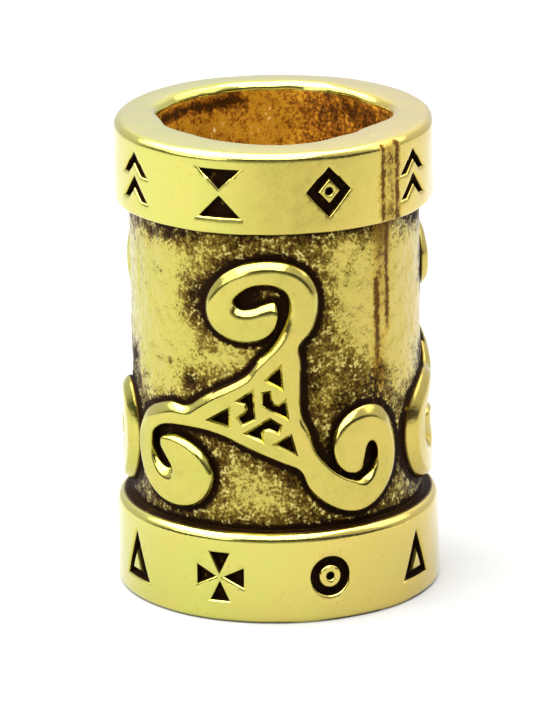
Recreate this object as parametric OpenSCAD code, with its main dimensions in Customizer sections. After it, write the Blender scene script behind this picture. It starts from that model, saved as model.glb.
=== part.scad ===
// Hair cuff bead: one casting, a thin sleeve between two collars, with three raised
// triskeles round the sleeve and a row of cut marks round each collar.
// Millimetres. The bead stands on its lower end, the bore runs along Z,
// and the first triskele faces -Y.

/* [Bead] */
// Height of the whole bead
bead_h = 18.2; // [13:0.1:30]
// Diameter of the bore that the hair goes through
bore_d = 8.9; // [6:0.1:14]
// Wall of the sleeve between the collars
wall = 1; // [0.8:0.05:2]
// Rounding of both mouths of the bore
mouth_round = 0.35; // [0.1:0.05:0.5]

/* [Collars] */
// How far the upper collar stands out from the sleeve
upper_collar_step = 0.55; // [0.4:0.05:2]
// Height of the upper collar
upper_collar_h = 3.15; // [2.5:0.05:4.5]
// How far the lower collar stands out from the sleeve, a little more in the photograph
lower_collar_step = 0.65; // [0.4:0.05:2]
// Height of the lower collar
lower_collar_h = 3.5; // [2.5:0.05:4.5]
// Rounding of the collars' outer edges
collar_round = 0.35; // [0.1:0.05:0.5]

/* [Triskeles] */
// How many triskeles stand round the sleeve
triskele_count = 3; // [1:1:5]
// Gap between the lower curls and the lower collar
low_gap = 0.73; // [0.3:0.01:2]
// Gap between the upper curl and the upper collar
high_gap = 0.91; // [0.3:0.01:2]
// Least gap between neighbouring triskeles
side_gap = 0.5; // [0.2:0.05:2]
// How far the relief stands out of the sleeve
relief_h = 0.42; // [0.2:0.02:0.6]
// Width of the rounding along the relief's edges
relief_round = 0.28; // [0.1:0.02:0.4]
// Height of the relief's edge, below the rounding, as a share of its full height
edge_share = 0.55; // [0.4:0.05:0.9]
// How far the carving of a triskele's plate sits below the triskele's centre
carving_drop = 0.18; // [0:0.02:0.3]
// Thickness left under the carving's floor, outside the sleeve
carving_floor = 0.05; // [0.02:0.01:0.15]

/* [Cut marks] */
// How many marks each collar has
mark_count = 9; // [3:3:12]
// Width of a mark
mark_w = 1.8; // [1.2:0.1:2.2]
// Height of a mark
mark_h = 2; // [1.4:0.1:2.1]
// Width of a cut stroke
stroke_w = 0.32; // [0.2:0.02:0.4]
// Depth of a cut stroke
stroke_depth = 0.3; // [0.15:0.05:0.5]
// Radius of the pellets in the marks
pellet_r = 0.2; // [0.1:0.01:0.25]
// Turn of the upper collar's first mark from the front
upper_marks_turn = -14.5; // [-40:0.5:40]
// Turn of the lower collar's first mark from the front
lower_marks_turn = -16; // [-40:0.5:40]

/* [Hidden] */
$fn = 96;

bore_r = bore_d / 2;
sleeve_r = bore_r + wall;
upper_collar_r = sleeve_r + upper_collar_step;
lower_collar_r = sleeve_r + lower_collar_step;
upper_collar_z = bead_h - upper_collar_h;
sleeve_h = upper_collar_z - lower_collar_h;
relief_r = sleeve_r + relief_h;

// The relief is rooted this deep in the wall, as part of the same casting
root_r = sleeve_r - wall / 3;

// Columns of a section, as shares of triskele_reach from its centre, for the
// curl that points up: outer edge across and out, then inner edge across and out.
// The plate is the stretch of each arm between the middle of a side and the neck.
plate_rows = [
    [0.250, 0.130, -0.112, 0.205],
    [0.238, 0.265, -0.020, 0.310],
    [0.228, 0.400, 0.085, 0.425]
];
// The upper curl is open, with a wide eye
open_curl_rows = [
    [0.305, 0.505, 0.150, 0.535],
    [0.345, 0.640, 0.178, 0.640],
    [0.340, 0.770, 0.155, 0.735],
    [0.280, 0.880, 0.100, 0.780],
    [0.175, 0.945, 0.050, 0.792],
    [0.040, 0.965, 0.000, 0.790],
    [-0.105, 0.940, -0.060, 0.778],
    [-0.240, 0.865, -0.120, 0.742],
    [-0.335, 0.750, -0.165, 0.695],
    [-0.352, 0.640, -0.166, 0.660],
    [-0.310, 0.540, -0.142, 0.638],
    [-0.225, 0.478, -0.102, 0.630],
    [-0.105, 0.452, -0.045, 0.637],
    [0.015, 0.475, 0.020, 0.660],
    [0.085, 0.532, 0.085, 0.672],
    [0.106, 0.590, 0.108, 0.640]
];
// The two lower curls are closed, with a broad head beside a narrow slot
closed_curl_rows = [
    [0.300, 0.505, 0.145, 0.540],
    [0.335, 0.640, 0.172, 0.660],
    [0.330, 0.780, 0.160, 0.765],
    [0.275, 0.895, 0.115, 0.815],
    [0.170, 0.975, 0.065, 0.838],
    [0.040, 1.008, 0.015, 0.843],
    [-0.095, 0.990, -0.035, 0.835],
    [-0.220, 0.915, -0.082, 0.810],
    [-0.310, 0.800, -0.110, 0.768],
    [-0.340, 0.675, -0.106, 0.742],
    [-0.300, 0.565, -0.082, 0.733],
    [-0.210, 0.488, -0.050, 0.738],
    [-0.095, 0.470, -0.010, 0.750],
    [0.015, 0.508, 0.030, 0.762],
    [0.092, 0.585, 0.070, 0.765],
    [0.120, 0.675, 0.102, 0.740]
];
curl_rows = [open_curl_rows, closed_curl_rows, closed_curl_rows];
arm_count = len(curl_rows);
steps_per_row = 2;

function lerp(a, b, t) = a + (b - a) * t;
function turned(p, a) = [p.x * cos(a) - p.y * sin(a), p.x * sin(a) + p.y * cos(a)];

// The figure's extent, as shares of its reach, decides how large it can be: it fills the
// sleeve between its gaps, unless its neighbours are too close for that
outline = [for (k = [0 : arm_count - 1]) for (row = curl_rows[k])
    turned([row[0], row[1]], k * 360 / arm_count)];
figure_low = min([for (p = outline) p.y]);
figure_high = max([for (p = outline) p.y]);
figure_w = max([for (p = outline) p.x]) - min([for (p = outline) p.x]);
pitch = 2 * PI * relief_r / triskele_count;
free_h = sleeve_h - low_gap - high_gap;
triskele_reach = min(free_h / (figure_high - figure_low), (pitch - side_gap) / figure_w);
spare_h = free_h - triskele_reach * (figure_high - figure_low);
triskele_z = lower_collar_h + low_gap + spare_h / 2 - triskele_reach * figure_low;

// How high the relief is at the places across a section, as shares of relief_h
shoulder_share = 1 - (1 - edge_share) * 0.3;
heights = [edge_share, shoulder_share, 1, 1, 1, shoulder_share, edge_share];
last = len(heights) - 1;
middle = last / 2;
root_places = [0, middle, last];

// Recesses of the carving, as shares of triskele_reach, each cut once for every arm
corner_recess = [[0.115, 0.299], [0.036, 0.223], [0.123, 0.173]];
hook_recess = [
    [0.008, 0.135], [0.048, 0.142], [0.054, 0.088], [0.073, 0.057], [0.110, 0.052],
    [0.144, 0.081], [0.154, -0.019], [0.110, 0.005], [0.034, 0.043], [0.004, 0.060]
];

// Catmull-Rom through the rows, so few rows make a smooth strand
function spline_value(a, b, c, d, t) =
    b + t * ((c - a) / 2 + t * (a - 2.5 * b + 2 * c - d / 2 + t * (1.5 * b - a / 2 - 1.5 * c + d / 2)));
function row_at(rows, i) = rows[min(max(i, 0), len(rows) - 1)];
function smooth_rows(rows, steps) = [
    for (i = [0 : len(rows) - 2])
        for (s = [0 : steps - 1])
            spline_value(row_at(rows, i - 1), rows[i], rows[i + 1], row_at(rows, i + 2), s / steps),
    rows[len(rows) - 1]
];

// A flat point, across and out from the triskele's centre, laid on the cylinder of radius r
function wrapped(p, r) =
    let (turn = p.x / relief_r * 180 / PI)
    [r * sin(turn), -r * cos(turn), triskele_z + p.y];

function place_r(j) = sleeve_r + relief_h * heights[j];
function before(k) = (k + arm_count - 1) % arm_count;

// Foot k is the middle of the plate's side on the left of arm k,
// which is also the side on the right of the arm before it
function foot(k) = turned([plate_rows[0][2], plate_rows[0][3]] * triskele_reach, k * 360 / arm_count);

// Places across a section of width w, from its inner to its outer edge, as shares of w:
// the rounding keeps its width and gives way only where the curl's tail is narrow
function places(w) =
    let (rounding = min(relief_round / w, 0.4), shoulder = rounding * 0.35)
    [0, shoulder, rounding, 0.5, 1 - rounding, 1 - shoulder, 1];

// The first section of an arm bends at the triskele's centre, from foot to foot
function bent_section(k) =
    [for (share = places(2 * norm(foot(k)))) foot(share < 0.5 ? k : before(k)) * abs(1 - 2 * share)];
function straight_section(row, k) =
    let (outer = [row[0], row[1]] * triskele_reach, inner = [row[2], row[3]] * triskele_reach)
    [for (share = places(norm(outer - inner)))
        turned(lerp(inner, outer, share), k * 360 / arm_count)];

// The sections of one arm in flat millimetres, each a list of points across it
function arm_sections(k) =
    let (
        curl = smooth_rows(concat([plate_rows[2]], curl_rows[k]), steps_per_row),
        rows = concat([plate_rows[1]], curl),
        straight = [for (row = rows) straight_section(row, k)],
        bent = bent_section(k),
        between = [for (j = [0 : last]) lerp(bent[j], straight[0][j], 0.5)]
    )
    concat([bent, between], straight);

// One closed solid: three arms that share the triskele's centre and the feet
module triskele_solid() {
    arms = [for (k = [0 : arm_count - 1]) arm_sections(k)];
    n = len(arms[0]) - 1;
    spokes_at = 1;
    tops_at = spokes_at + arm_count * middle;
    under_centre = tops_at + arm_count * n * len(heights);
    under_feet_at = under_centre + 1;
    under_arms_at = under_feet_at + arm_count;

    points = concat(
        [wrapped([0, 0], relief_r)],
        [for (k = [0 : arm_count - 1]) for (j = [0 : middle - 1]) wrapped(arms[k][0][j], place_r(j))],
        [for (k = [0 : arm_count - 1]) for (i = [1 : n]) for (j = [0 : last])
            wrapped(arms[k][i][j], place_r(j))],
        [wrapped([0, 0], root_r)],
        [for (k = [0 : arm_count - 1]) wrapped(foot(k), root_r)],
        [for (k = [0 : arm_count - 1]) for (i = [1 : n]) for (j = root_places)
            wrapped(arms[k][i][j], root_r)]
    );

    function top(k, i, j) =
        i > 0 ? tops_at + (k * n + i - 1) * len(heights) + j :
        j == middle ? 0 :
        j < middle ? spokes_at + k * middle + j :
        spokes_at + before(k) * middle + last - j;
    function under(k, i, j) =
        i > 0 ? under_arms_at + (k * n + i - 1) * len(root_places) + j :
        j == 1 ? under_centre :
        under_feet_at + (j == 0 ? k : before(k));

    faces = [for (k = [0 : arm_count - 1]) each concat(
        [for (i = [0 : n - 1]) for (j = [0 : last - 1]) each [
            [top(k, i, j), top(k, i + 1, j), top(k, i + 1, j + 1)],
            [top(k, i, j), top(k, i + 1, j + 1), top(k, i, j + 1)]]],
        [for (i = [0 : n - 1]) for (j = [0 : 1]) each [
            [under(k, i, j), under(k, i + 1, j + 1), under(k, i + 1, j)],
            [under(k, i, j), under(k, i, j + 1), under(k, i + 1, j + 1)]]],
        [for (i = [0 : n - 1]) each [
            [top(k, i, 0), under(k, i, 0), under(k, i + 1, 0)],
            [top(k, i, 0), under(k, i + 1, 0), top(k, i + 1, 0)],
            [top(k, i, last), under(k, i + 1, 2), under(k, i, 2)],
            [top(k, i, last), top(k, i + 1, last), under(k, i + 1, 2)]]],
        // The blunt end of the curl
        [for (j = [0 : last - 1]) [top(k, n, j), under(k, n, 1), top(k, n, j + 1)]],
        [
            [top(k, n, 0), under(k, n, 0), under(k, n, 1)],
            [top(k, n, last), under(k, n, 1), under(k, n, 2)]
        ]
    )];
    polyhedron(points = points, faces = faces);
}

// Turns a flat drawing, across and up, into a radial prism from radius r outwards at height z
module radial_prism(r, depth, z) {
    translate([0, 0, z]) rotate([90, 0, 0]) translate([0, 0, r]) linear_extrude(depth) children();
}

module carving() {
    radial_prism(sleeve_r + carving_floor, 2 * relief_h, triskele_z - carving_drop)
        for (k = [0 : arm_count - 1]) rotate(k * 360 / arm_count) {
            polygon(corner_recess * triskele_reach);
            polygon(hook_recess * triskele_reach);
        }
}

module triskele() {
    difference() {
        triskele_solid();
        carving();
    }
}

// A cut stroke from a to b, in shares of half the mark's width and height
module stroke(a, b) {
    half = [mark_w / 2, mark_h / 2];
    p = [a.x * half.x, a.y * half.y];
    q = [b.x * half.x, b.y * half.y];
    run = (q - p) / norm(q - p) * stroke_w / 2;
    side = [-run.y, run.x];
    polygon([p - run - side, q + run - side, q + run + side, p - run + side]);
}

module stroke_path(path, closed = false) {
    n = len(path);
    for (i = [0 : closed ? n - 1 : n - 2]) stroke(path[i], path[(i + 1) % n]);
}

module pellet() {
    circle(r = pellet_r, $fn = 32);
}

module chevrons() {
    for (low = [-0.9, 0]) stroke_path([[-0.8, low], [0, low + 0.9], [0.8, low]]);
}

module facing_wedges() {
    for (way = [-1, 1]) scale([1, way])
        polygon([[-mark_w * 0.4, mark_h * 0.48], [mark_w * 0.4, mark_h * 0.48], [0, mark_h * 0.06]]);
}

module lozenge() {
    stroke_path([[0, 0.9], [0.85, 0], [0, -0.9], [-0.85, 0]], closed = true);
    pellet();
}

module triangle() {
    stroke_path([[0, 0.85], [0.85, -0.85], [-0.85, -0.85]], closed = true);
    translate([0, -mark_h / 6]) pellet();
}

module wedge_cross() {
    for (k = [0 : 3]) rotate(90 * k)
        polygon([[0, mark_h * 0.1], [mark_w * 0.2, mark_h * 0.48], [-mark_w * 0.2, mark_h * 0.48]]);
}

module ring() {
    ring_r = mark_w * 0.44;
    difference() {
        circle(r = ring_r, $fn = 48);
        circle(r = ring_r - stroke_w, $fn = 48);
    }
    pellet();
}

module motif(index) {
    if (index == 0) facing_wedges();
    if (index == 1) lozenge();
    if (index == 2) chevrons();
    if (index == 3) wedge_cross();
    if (index == 4) ring();
    if (index == 5) triangle();
}

// A ring of marks: three motifs in turn, the first of them given by its index
module marks(collar_r, middle_z, turn, first) {
    for (i = [0 : mark_count - 1]) rotate(turn + i * 360 / mark_count)
        radial_prism(collar_r - stroke_depth, 2 * stroke_depth, middle_z) motif(first + i % 3);
}

// Takes a square corner off a profile at p and leaves an arc of radius r.
// out is the way from the arc's centre to the corner, as signs across and up
module corner_cut(p, out, r) {
    centre = p - out * r;
    difference() {
        translate([min(centre.x, centre.x + out.x * 2 * r), min(centre.y, centre.y + out.y * 2 * r)])
            square(2 * r);
        translate(centre) circle(r = r);
    }
}

// The profiles are drawn across from the bead's axis and up from its lower end
module sleeve_profile() {
    translate([bore_r, 0]) square([wall, bead_h]);
}

module lower_collar_profile() {
    difference() {
        translate([bore_r, 0]) square([lower_collar_r - bore_r, lower_collar_h]);
        corner_cut([lower_collar_r, 0], [1, -1], collar_round / 2);
        corner_cut([lower_collar_r, lower_collar_h], [1, 1], collar_round);
    }
}

module upper_collar_profile() {
    difference() {
        translate([bore_r, upper_collar_z]) square([upper_collar_r - bore_r, upper_collar_h]);
        corner_cut([upper_collar_r, upper_collar_z], [1, -1], collar_round / 2);
        corner_cut([upper_collar_r, bead_h], [1, 1], collar_round);
    }
}

module tube() {
    rotate_extrude() difference() {
        union() {
            sleeve_profile();
            lower_collar_profile();
            upper_collar_profile();
        }
        corner_cut([bore_r, 0], [-1, -1], mouth_round);
        corner_cut([bore_r, bead_h], [-1, 1], mouth_round);
    }
}

module triskeles() {
    for (i = [0 : triskele_count - 1]) rotate(i * 360 / triskele_count) triskele();
}

module upper_marks() {
    marks(upper_collar_r, bead_h - upper_collar_h / 2, upper_marks_turn, 0);
}

module lower_marks() {
    marks(lower_collar_r, lower_collar_h / 2, lower_marks_turn, 3);
}

module bead() color("goldenrod") {
    difference() {
        union() {
            tube();
            triskeles();
        }
        upper_marks();
        lower_marks();
    }
}

bead();
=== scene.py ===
import math

import bmesh
import bpy
from mathutils import Matrix, Vector, noise
from mathutils.bvhtree import BVHTree


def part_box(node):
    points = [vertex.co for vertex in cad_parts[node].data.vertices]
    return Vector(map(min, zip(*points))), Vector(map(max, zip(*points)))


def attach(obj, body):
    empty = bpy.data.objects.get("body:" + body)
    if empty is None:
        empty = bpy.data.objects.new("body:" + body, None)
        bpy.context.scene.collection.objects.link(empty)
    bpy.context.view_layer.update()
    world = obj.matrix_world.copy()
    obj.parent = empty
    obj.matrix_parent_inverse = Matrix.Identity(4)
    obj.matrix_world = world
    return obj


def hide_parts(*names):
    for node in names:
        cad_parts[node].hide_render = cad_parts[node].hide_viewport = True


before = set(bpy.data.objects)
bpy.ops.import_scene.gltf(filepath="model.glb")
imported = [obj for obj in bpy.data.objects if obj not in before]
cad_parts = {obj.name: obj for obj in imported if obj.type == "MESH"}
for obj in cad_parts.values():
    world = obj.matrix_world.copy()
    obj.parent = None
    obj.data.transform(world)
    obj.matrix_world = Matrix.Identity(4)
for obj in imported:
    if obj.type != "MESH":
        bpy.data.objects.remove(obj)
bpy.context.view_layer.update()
print("frame loaded")

# The pieces are modelled in millimetres and brought to metres when they are finished.
# Flat pieces are drawn across (X) and up (Z) with their front towards -Y, then bent round the bead's axis.
millimetre = 0.001
touching = 0.001  # millimetres within which two places count as the same
smoothAngle = 35  # degrees, edges sharper than this stay sharp
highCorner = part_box("bead")[1]
beadHeight = highCorner.z / millimetre
lowerRadius = highCorner.x / millimetre

bead = {
    "boreRadius": 4.45,
    "sleeveRadius": 5.45,
    "upperCollarHeight": 3.15,
    "lowerCollarHeight": 3.5,
}
upperCollarZ = beadHeight - bead["upperCollarHeight"]
lowerCollarZ = bead["lowerCollarHeight"]


def deselectAll():
    if bpy.context.object and bpy.context.object.mode == "EDIT":
        bpy.ops.object.mode_set(mode="OBJECT")
    bpy.ops.object.select_all(action="DESELECT")


def pick(*objects):
    deselectAll()
    for obj in objects:
        obj.select_set(True)
    bpy.context.view_layer.objects.active = objects[0]


def startEdit(obj):
    pick(obj)
    bpy.ops.object.mode_set(mode="EDIT")


def endEdit():
    bpy.ops.object.mode_set(mode="OBJECT")


def selectParts(obj, kind, test):
    # in edit mode: selects only the vertices, edges or faces that pass the test
    bpy.ops.mesh.select_mode(type=kind)
    bpy.ops.mesh.select_all(action="DESELECT")
    mesh = bmesh.from_edit_mesh(obj.data)
    parts = {"VERT": mesh.verts, "EDGE": mesh.edges, "FACE": mesh.faces}[kind]
    for part in parts:
        if test(part):
            part.select_set(True)
    mesh.select_flush_mode()
    bmesh.update_edit_mesh(obj.data)


def turnFacesOut():
    bpy.ops.mesh.select_all(action="SELECT")
    bpy.ops.mesh.normals_make_consistent(inside=False)


def applyModifier(obj, kind, **settings):
    pick(obj)
    modifier = obj.modifiers.new(kind.lower(), kind)
    for key, value in settings.items():
        setattr(modifier, key, value)
    bpy.ops.object.modifier_apply(modifier=modifier.name)


def cutAway(obj, cutter, useSelf=False):
    applyModifier(obj, "BOOLEAN", operation="DIFFERENCE", object=cutter, solver="EXACT", use_self=useSelf)
    bpy.data.objects.remove(cutter)


def duplicate(obj):
    pick(obj)
    bpy.ops.object.duplicate()
    return bpy.context.object


def addCube(name, low, high):
    deselectAll()
    middle = [(a + b) / 2 for a, b in zip(low, high)]
    extent = [b - a for a, b in zip(low, high)]
    bpy.ops.mesh.primitive_cube_add(size=1, location=middle, scale=extent)
    bpy.ops.object.transform_apply(location=True, rotation=True, scale=True)
    obj = bpy.context.object
    obj.name = name
    return obj


def bisectRow(obj, start, end, step, normal):
    # cuts the whole mesh at even steps, so that it can bend
    startEdit(obj)
    count = max(2, round((end - start) / step))
    for i in range(1, count):
        place = start + (end - start) * i / count
        bpy.ops.mesh.select_all(action="SELECT")
        bpy.ops.mesh.bisect(plane_co=Vector(normal) * place, plane_no=normal)
    endEdit()


def bendRound(obj, radius):
    # y = 0 lands on the given radius and the axis of the bead lands at the origin
    xs = [vert.co.x for vert in obj.data.vertices]
    width = max(xs) - min(xs)
    applyModifier(obj, "SIMPLE_DEFORM", deform_method="BEND", deform_axis="Z", angle=width / radius)
    obj.data.transform(Matrix.Translation((0, -radius, 0)))


def turnRound(obj, degrees, axis="Z"):
    obj.data.transform(Matrix.Rotation(math.radians(degrees), 4, axis))


def addClouds(name, size, depth):
    texture = bpy.data.textures.new(name, "CLOUDS")
    texture.noise_scale = size
    texture.noise_depth = depth
    return texture


def displace(obj, texture, strength, middle=0.5, group=""):
    applyModifier(
        obj, "DISPLACE", texture=texture, strength=strength, mid_level=middle, texture_coords="LOCAL",
        vertex_group=group)


def paint(obj, name, level):
    # how much of a stain each point holds, from 0 to 1, kept as an attribute for the material
    layer = obj.data.attributes.get(name) or obj.data.attributes.new(name, "FLOAT", "POINT")
    layer.data.foreach_set("value", [level(vert.co) for vert in obj.data.vertices])


def radiusOf(co):
    return math.hypot(co.x, co.y)


def angleOf(co):
    # degrees round from the middle of the front triskele
    return math.degrees(math.atan2(co.x, -co.y))


def smoothStep(low, high, value):
    t = min(max((value - low) / (high - low), 0), 1)
    return t * t * (3 - 2 * t)


def bell(distance, width):
    return math.exp(-(distance / width) ** 2)


def finishPiece(obj, material):
    obj.data.transform(Matrix.Scale(millimetre, 4))
    pick(obj)
    bpy.ops.object.shade_smooth_by_angle(angle=math.radians(smoothAngle))
    obj.data.materials.clear()
    obj.data.materials.append(material)
    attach(obj, "root")
    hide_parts("bead")
    print("finished", obj.name, len(obj.data.polygons), "faces")


# Materials: colours are in linear light
gold = {
    "bright": (0.52, 0.51, 0.105, 1),
    "warm": (0.60, 0.47, 0.11, 1),
    # a painted highlight colour for the brightest grains
    "paintedSparkle": (0.70, 0.63, 0.22, 1),
    "dull": (0.38, 0.31, 0.06, 1),
    "olive": (0.18, 0.125, 0.02, 1),
    "brown": (0.062, 0.034, 0.005, 1),
    "black": (0.013, 0.005, 0.0008, 1),
    "bore": (0.56, 0.275, 0.018, 1),
    # a painted glint colour for the brightest places in the bore
    "borePaintedGlint": (0.95, 0.75, 0.35, 1),
    "boreRed": (0.24, 0.08, 0.006, 1),
    "boreDark": (0.05, 0.018, 0.002, 1),
    # colours of painted dark reflections, stripes on the collars and the sleeve
    "paintedReflection": (0.42, 0.23, 0.006, 1),
    "paintedReflectionDark": (0.085, 0.034, 0.0003, 1),
}
# sizes are in millimetres, the other numbers are strengths
finishes = {
    "polished": {
        "roughness": 0.15, "speckleSize": 0.12, "speckle": 0.12, "grainSize": 0.4, "grains": 0.12,
        "blotchSize": 1.5, "blotch": 0.1, "bump": 0.12, "coat": 0.4, "paintedSparkle": 0, "film": 0,
    },
    "ground": {
        "roughness": 0.24, "speckleSize": 0.11, "speckle": 1.1, "grainSize": 0.34, "grains": 0.8,
        "blotchSize": 1.5, "blotch": 0.7, "bump": 0.5, "coat": 0.15, "paintedSparkle": 0.6, "film": 0.4,
    },
}
# a range gives the low and high that come in, then those that go out, and a ramp gives places and colours
wear = {
    "speckleDetail": 5,
    "blotchDetail": 3,
    "grainDetail": 4,
    "sideRange": (-2 * millimetre, 5 * millimetre, -0.2, 0.8),
    "tintRange": (0.3, 0.7, 0, 0.6),
    "wornRange": (0.1, 0.36),
    "darkRamp": ((0.2, "dull"), (0.42, "olive"), (0.65, "brown"), (0.9, "black")),
    # painted highlights: pale specks on the highest grains among the patina
    "paintedSparkleRange": (1.1, 1.22, 0),
    "paintedSparkleFromPatina": (0.3, 0.5, 0, 1),
    "paintedSparkleToPatina": (0.75, 1.0, 1, 0),
    # painted dark reflections, stripes with ragged edges
    "paintedReflectionSpeckle": 1.2,
    "paintedReflectionGrain": 1.4,
    "paintedReflectionRange": (1.55, 2.45, 0, 1),
    "paintedReflectionRamp": ((0.3, "paintedReflection"), (0.9, "paintedReflectionDark")),
    "boreGrain": 0.7,
    "boreBlotch": 0.5,
    "boreRange": (0.72, 1.5, 0, 1),
    # the last stop of the bore's ramp is a painted glint
    "boreRamp": ((0, "boreDark"), (0.28, "boreRed"), (0.55, "bore"), (0.8, "bore"), (0.92, "borePaintedGlint")),
    "boreSpeckle": 0.5,
    "boreEdge": (0.65, 0.85, 0, 1),
    "specular": 0.1,
    "coatRange": (0.05, 0.3),
    "coatOffPaintedReflection": (0, 0.4, 1, 0),
    "coatRoughness": 0.08,
    "metalRange": (0.5, 0.8, 1, 0.7),
    "boreMetal": -0.75,
    "paintedReflectionMetal": -1,
    "roughRange": (0.3, 0.9),
    "patinaRoughness": 0.7,
    "mattRoughness": 0.5,
    "bumpDistance": 0.04 * millimetre,
}
nodeLayout = {"perColumn": 6, "step": 240}


def addNode(tree, kind, **settings):
    node = tree.nodes.new(kind)
    column, row = divmod(len(tree.nodes), nodeLayout["perColumn"])
    node.location = (column * nodeLayout["step"], -row * nodeLayout["step"])
    for key, value in settings.items():
        if key in node.inputs:
            node.inputs[key].default_value = value
        else:
            setattr(node, key, value)
    return node


def setOrLink(tree, socket, value):
    if isinstance(value, bpy.types.NodeSocket):
        tree.links.new(value, socket)
    else:
        socket.default_value = value


def addAttribute(tree, name):
    return addNode(tree, "ShaderNodeAttribute", attribute_name=name).outputs["Fac"]


def addNoise(tree, source, size, detail):
    node = addNode(tree, "ShaderNodeTexNoise", Scale=1 / (size * millimetre), Detail=detail)
    tree.links.new(source, node.inputs["Vector"])
    return node.outputs["Fac"]


def addMath(tree, operation, *values):
    node = addNode(tree, "ShaderNodeMath", operation=operation)
    for socket, value in zip(node.inputs, values):
        setOrLink(tree, socket, value)
    return node.outputs[0]


def addTimes(tree, source, factor, added):
    # the source times the factor, added to another
    return addMath(tree, "MULTIPLY_ADD", source, factor, added)


def addRange(tree, source, *limits):
    node = addNode(tree, "ShaderNodeMapRange")
    for socket, value in zip(node.inputs, (source, *limits)):
        setOrLink(tree, socket, value)
    return node.outputs[0]


def addRamp(tree, source, stops):
    node = addNode(tree, "ShaderNodeValToRGB")
    elements = node.color_ramp.elements
    while len(elements) < len(stops):
        elements.new(1)
    for element, (position, color) in zip(elements, stops):
        element.position = position
        element.color = color
    tree.links.new(source, node.inputs["Fac"])
    return node.outputs["Color"]


def addGoldRamp(tree, source, stops):
    return addRamp(tree, source, [(position, gold[name]) for position, name in stops])


def addColorMix(tree, factor, first, second):
    node = addNode(tree, "ShaderNodeMix", data_type="RGBA")
    tree.links.new(factor, node.inputs["Factor"])
    for socket, value in zip([socket for socket in node.inputs if socket.type == "RGBA"], (first, second)):
        setOrLink(tree, socket, value)
    return [socket for socket in node.outputs if socket.type == "RGBA"][0]


def makeAgedGold(name, finish):
    material = bpy.data.materials.new(name)
    material.use_nodes = True
    tree = material.node_tree
    shader = tree.nodes["Principled BSDF"]
    place = addNode(tree, "ShaderNodeTexCoord").outputs["Object"]
    patinaAndShade, bore, paintedReflection = [addAttribute(tree, stain) for stain in ("patinaAndShade", "bore", "paintedReflection")]
    speckle = addNoise(tree, place, finish["speckleSize"], wear["speckleDetail"])
    blotch = addNoise(tree, place, finish["blotchSize"], wear["blotchDetail"])
    grain = addNoise(tree, place, finish["grainSize"], wear["grainDetail"])

    # patina gathers in the hollows, with painted shade in the corners, and wears off unevenly; the highest
    # grains get painted highlights
    level = addTimes(tree, speckle, -finish["speckle"], patinaAndShade)
    level = addTimes(tree, grain, -finish["grains"], level)
    level = addTimes(tree, blotch, -finish["blotch"], level)
    spread = (finish["speckle"] + finish["grains"] + finish["blotch"]) / 2
    level = addMath(tree, "ADD", level, spread)

    # the gold is warmer on the right and in blotches
    sides = addNode(tree, "ShaderNodeSeparateXYZ")
    tree.links.new(place, sides.inputs[0])
    side = addRange(tree, sides.outputs["X"], *wear["sideRange"])
    tint = addMath(tree, "ADD", addRange(tree, blotch, *wear["tintRange"]), side)
    tint = addColorMix(tree, tint, gold["bright"], gold["warm"])
    worn = addRange(tree, level, *wear["wornRange"], finish["film"], 1)
    color = addColorMix(tree, worn, tint, addGoldRamp(tree, level, wear["darkRamp"]))
    # painted highlights: the highest grains among the patina get pale specks, as if they caught the light
    paintedSparkle = addMath(tree, "ADD", speckle, grain)
    paintedSparkle = addRange(tree, paintedSparkle, *wear["paintedSparkleRange"], finish["paintedSparkle"])
    for limits in (wear["paintedSparkleFromPatina"], wear["paintedSparkleToPatina"]):
        paintedSparkle = addMath(tree, "MULTIPLY", paintedSparkle, addRange(tree, patinaAndShade, *limits))
    color = addColorMix(tree, paintedSparkle, color, gold["paintedSparkle"])

    # painted dark reflections: the streaks have ragged edges
    ragged = addTimes(tree, speckle, wear["paintedReflectionSpeckle"], paintedReflection)
    ragged = addTimes(tree, grain, wear["paintedReflectionGrain"], ragged)
    ragged = addRange(tree, ragged, *wear["paintedReflectionRange"])
    color = addColorMix(tree, ragged, color, addGoldRamp(tree, ragged, wear["paintedReflectionRamp"]))

    # the bore is bare orange brown metal, and its brightest tones are painted glints
    boreTone = addTimes(tree, grain, wear["boreGrain"], speckle)
    boreTone = addTimes(tree, blotch, wear["boreBlotch"], boreTone)
    boreTone = addTimes(tree, patinaAndShade, -1, boreTone)
    boreTone = addRange(tree, boreTone, *wear["boreRange"])
    inside = addRange(tree, addTimes(tree, speckle, wear["boreSpeckle"], bore), *wear["boreEdge"])
    color = addColorMix(tree, inside, color, addGoldRamp(tree, boreTone, wear["boreRamp"]))
    tree.links.new(color, shader.inputs["Base Color"])

    shader.inputs["Specular IOR Level"].default_value = wear["specular"]
    coat = addRange(tree, level, *wear["coatRange"], finish["coat"], 0)
    coat = addMath(tree, "MULTIPLY", coat, addRange(tree, ragged, *wear["coatOffPaintedReflection"]))
    tree.links.new(coat, shader.inputs["Coat Weight"])
    shader.inputs["Coat Roughness"].default_value = wear["coatRoughness"]
    metal = addRange(tree, level, *wear["metalRange"])
    metal = addTimes(tree, inside, wear["boreMetal"], metal)
    metal = addTimes(tree, ragged, wear["paintedReflectionMetal"], metal)
    tree.links.new(metal, shader.inputs["Metallic"])
    roughness = addRange(tree, level, *wear["roughRange"], finish["roughness"], wear["patinaRoughness"])
    matt = addMath(tree, "MULTIPLY", addMath(tree, "MAXIMUM", inside, ragged), wear["mattRoughness"])
    tree.links.new(addMath(tree, "MAXIMUM", roughness, matt), shader.inputs["Roughness"])
    bump = addNode(tree, "ShaderNodeBump", Strength=finish["bump"], Distance=wear["bumpDistance"])
    tree.links.new(speckle, bump.inputs["Height"])
    tree.links.new(bump.outputs["Normal"], shader.inputs["Normal"])
    return material


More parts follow.
